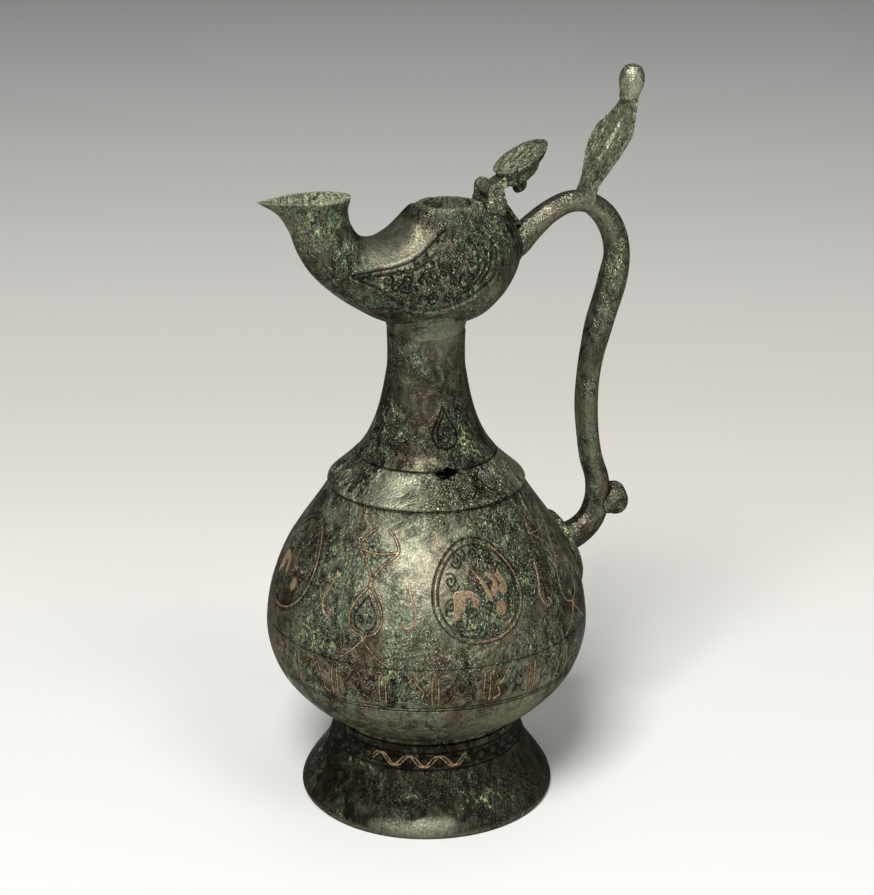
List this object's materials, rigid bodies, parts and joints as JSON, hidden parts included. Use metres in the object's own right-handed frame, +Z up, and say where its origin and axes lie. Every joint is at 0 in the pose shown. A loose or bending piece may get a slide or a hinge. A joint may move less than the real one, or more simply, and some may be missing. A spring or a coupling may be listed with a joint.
{
  "type": "ibrik ewer",
  "caption": "Pear-shaped metal ewer on a flared foot, with a tall neck, lamp-shaped spout head, hinged lid and a curved handle with a leaf thumb-piece.",
  "frame": {"origin": "centre of the bounding box, on the surface the foot stands on; the axis of the body is about 12 mm toward the spout", "axes": "+Z up, -X toward the spout, +X toward the handle, mirror plane at y = 0"},
  "size_m": [0.1596, 0.1316, 0.2971],
  "materials": {
    "bronze_dark": "dark green-brown patina with green specks",
    "bronze_foot": "darker, smoother patina",
    "bronze_light": "worn patina with grey-brown highlights",
    "copper_inlay": "dull pinkish copper",
    "iron": "rusted"
  },
  "bodies": {
    "ewer": {"foot_ring": "bronze_foot", "base_disc": "bronze_foot", "body_shell": "bronze_dark", "shoulder_collar": "bronze_light", "neck": "bronze_dark", "spout_head": "bronze_dark", "hinge_bracket": "bronze_light", "hinge_pin": "iron", "handle_bar": "bronze_dark", "handle_pad": "bronze_dark", "handle_knop": "bronze_light", "thumb_leaf": "bronze_light", "thumb_bud": "bronze_light", "inlay_scroll_1": "copper_inlay", "inlay_scroll_2": "copper_inlay", "inlay_scroll_3": "copper_inlay", "inlay_scroll_4": "copper_inlay", "inlay_scroll_5": "copper_inlay", "inlay_scroll_6": "copper_inlay", "inlay_scroll_7": "copper_inlay", "inlay_scroll_8": "copper_inlay", "inlay_figure_1": "copper_inlay", "inlay_figure_2": "copper_inlay", "inlay_figure_3": "copper_inlay"},
    "lid": {"lid": "bronze_dark", "lid_knob": "bronze_dark"}
  },
  "joints": [
    {"name": "lid_hinge", "type": "hinge", "parent": "ewer", "child": "lid", "pos_m": [0.01408, 0, 0.2524], "axis": [0, 1, 0], "range_deg": [-150.7, 0]}
  ]
}
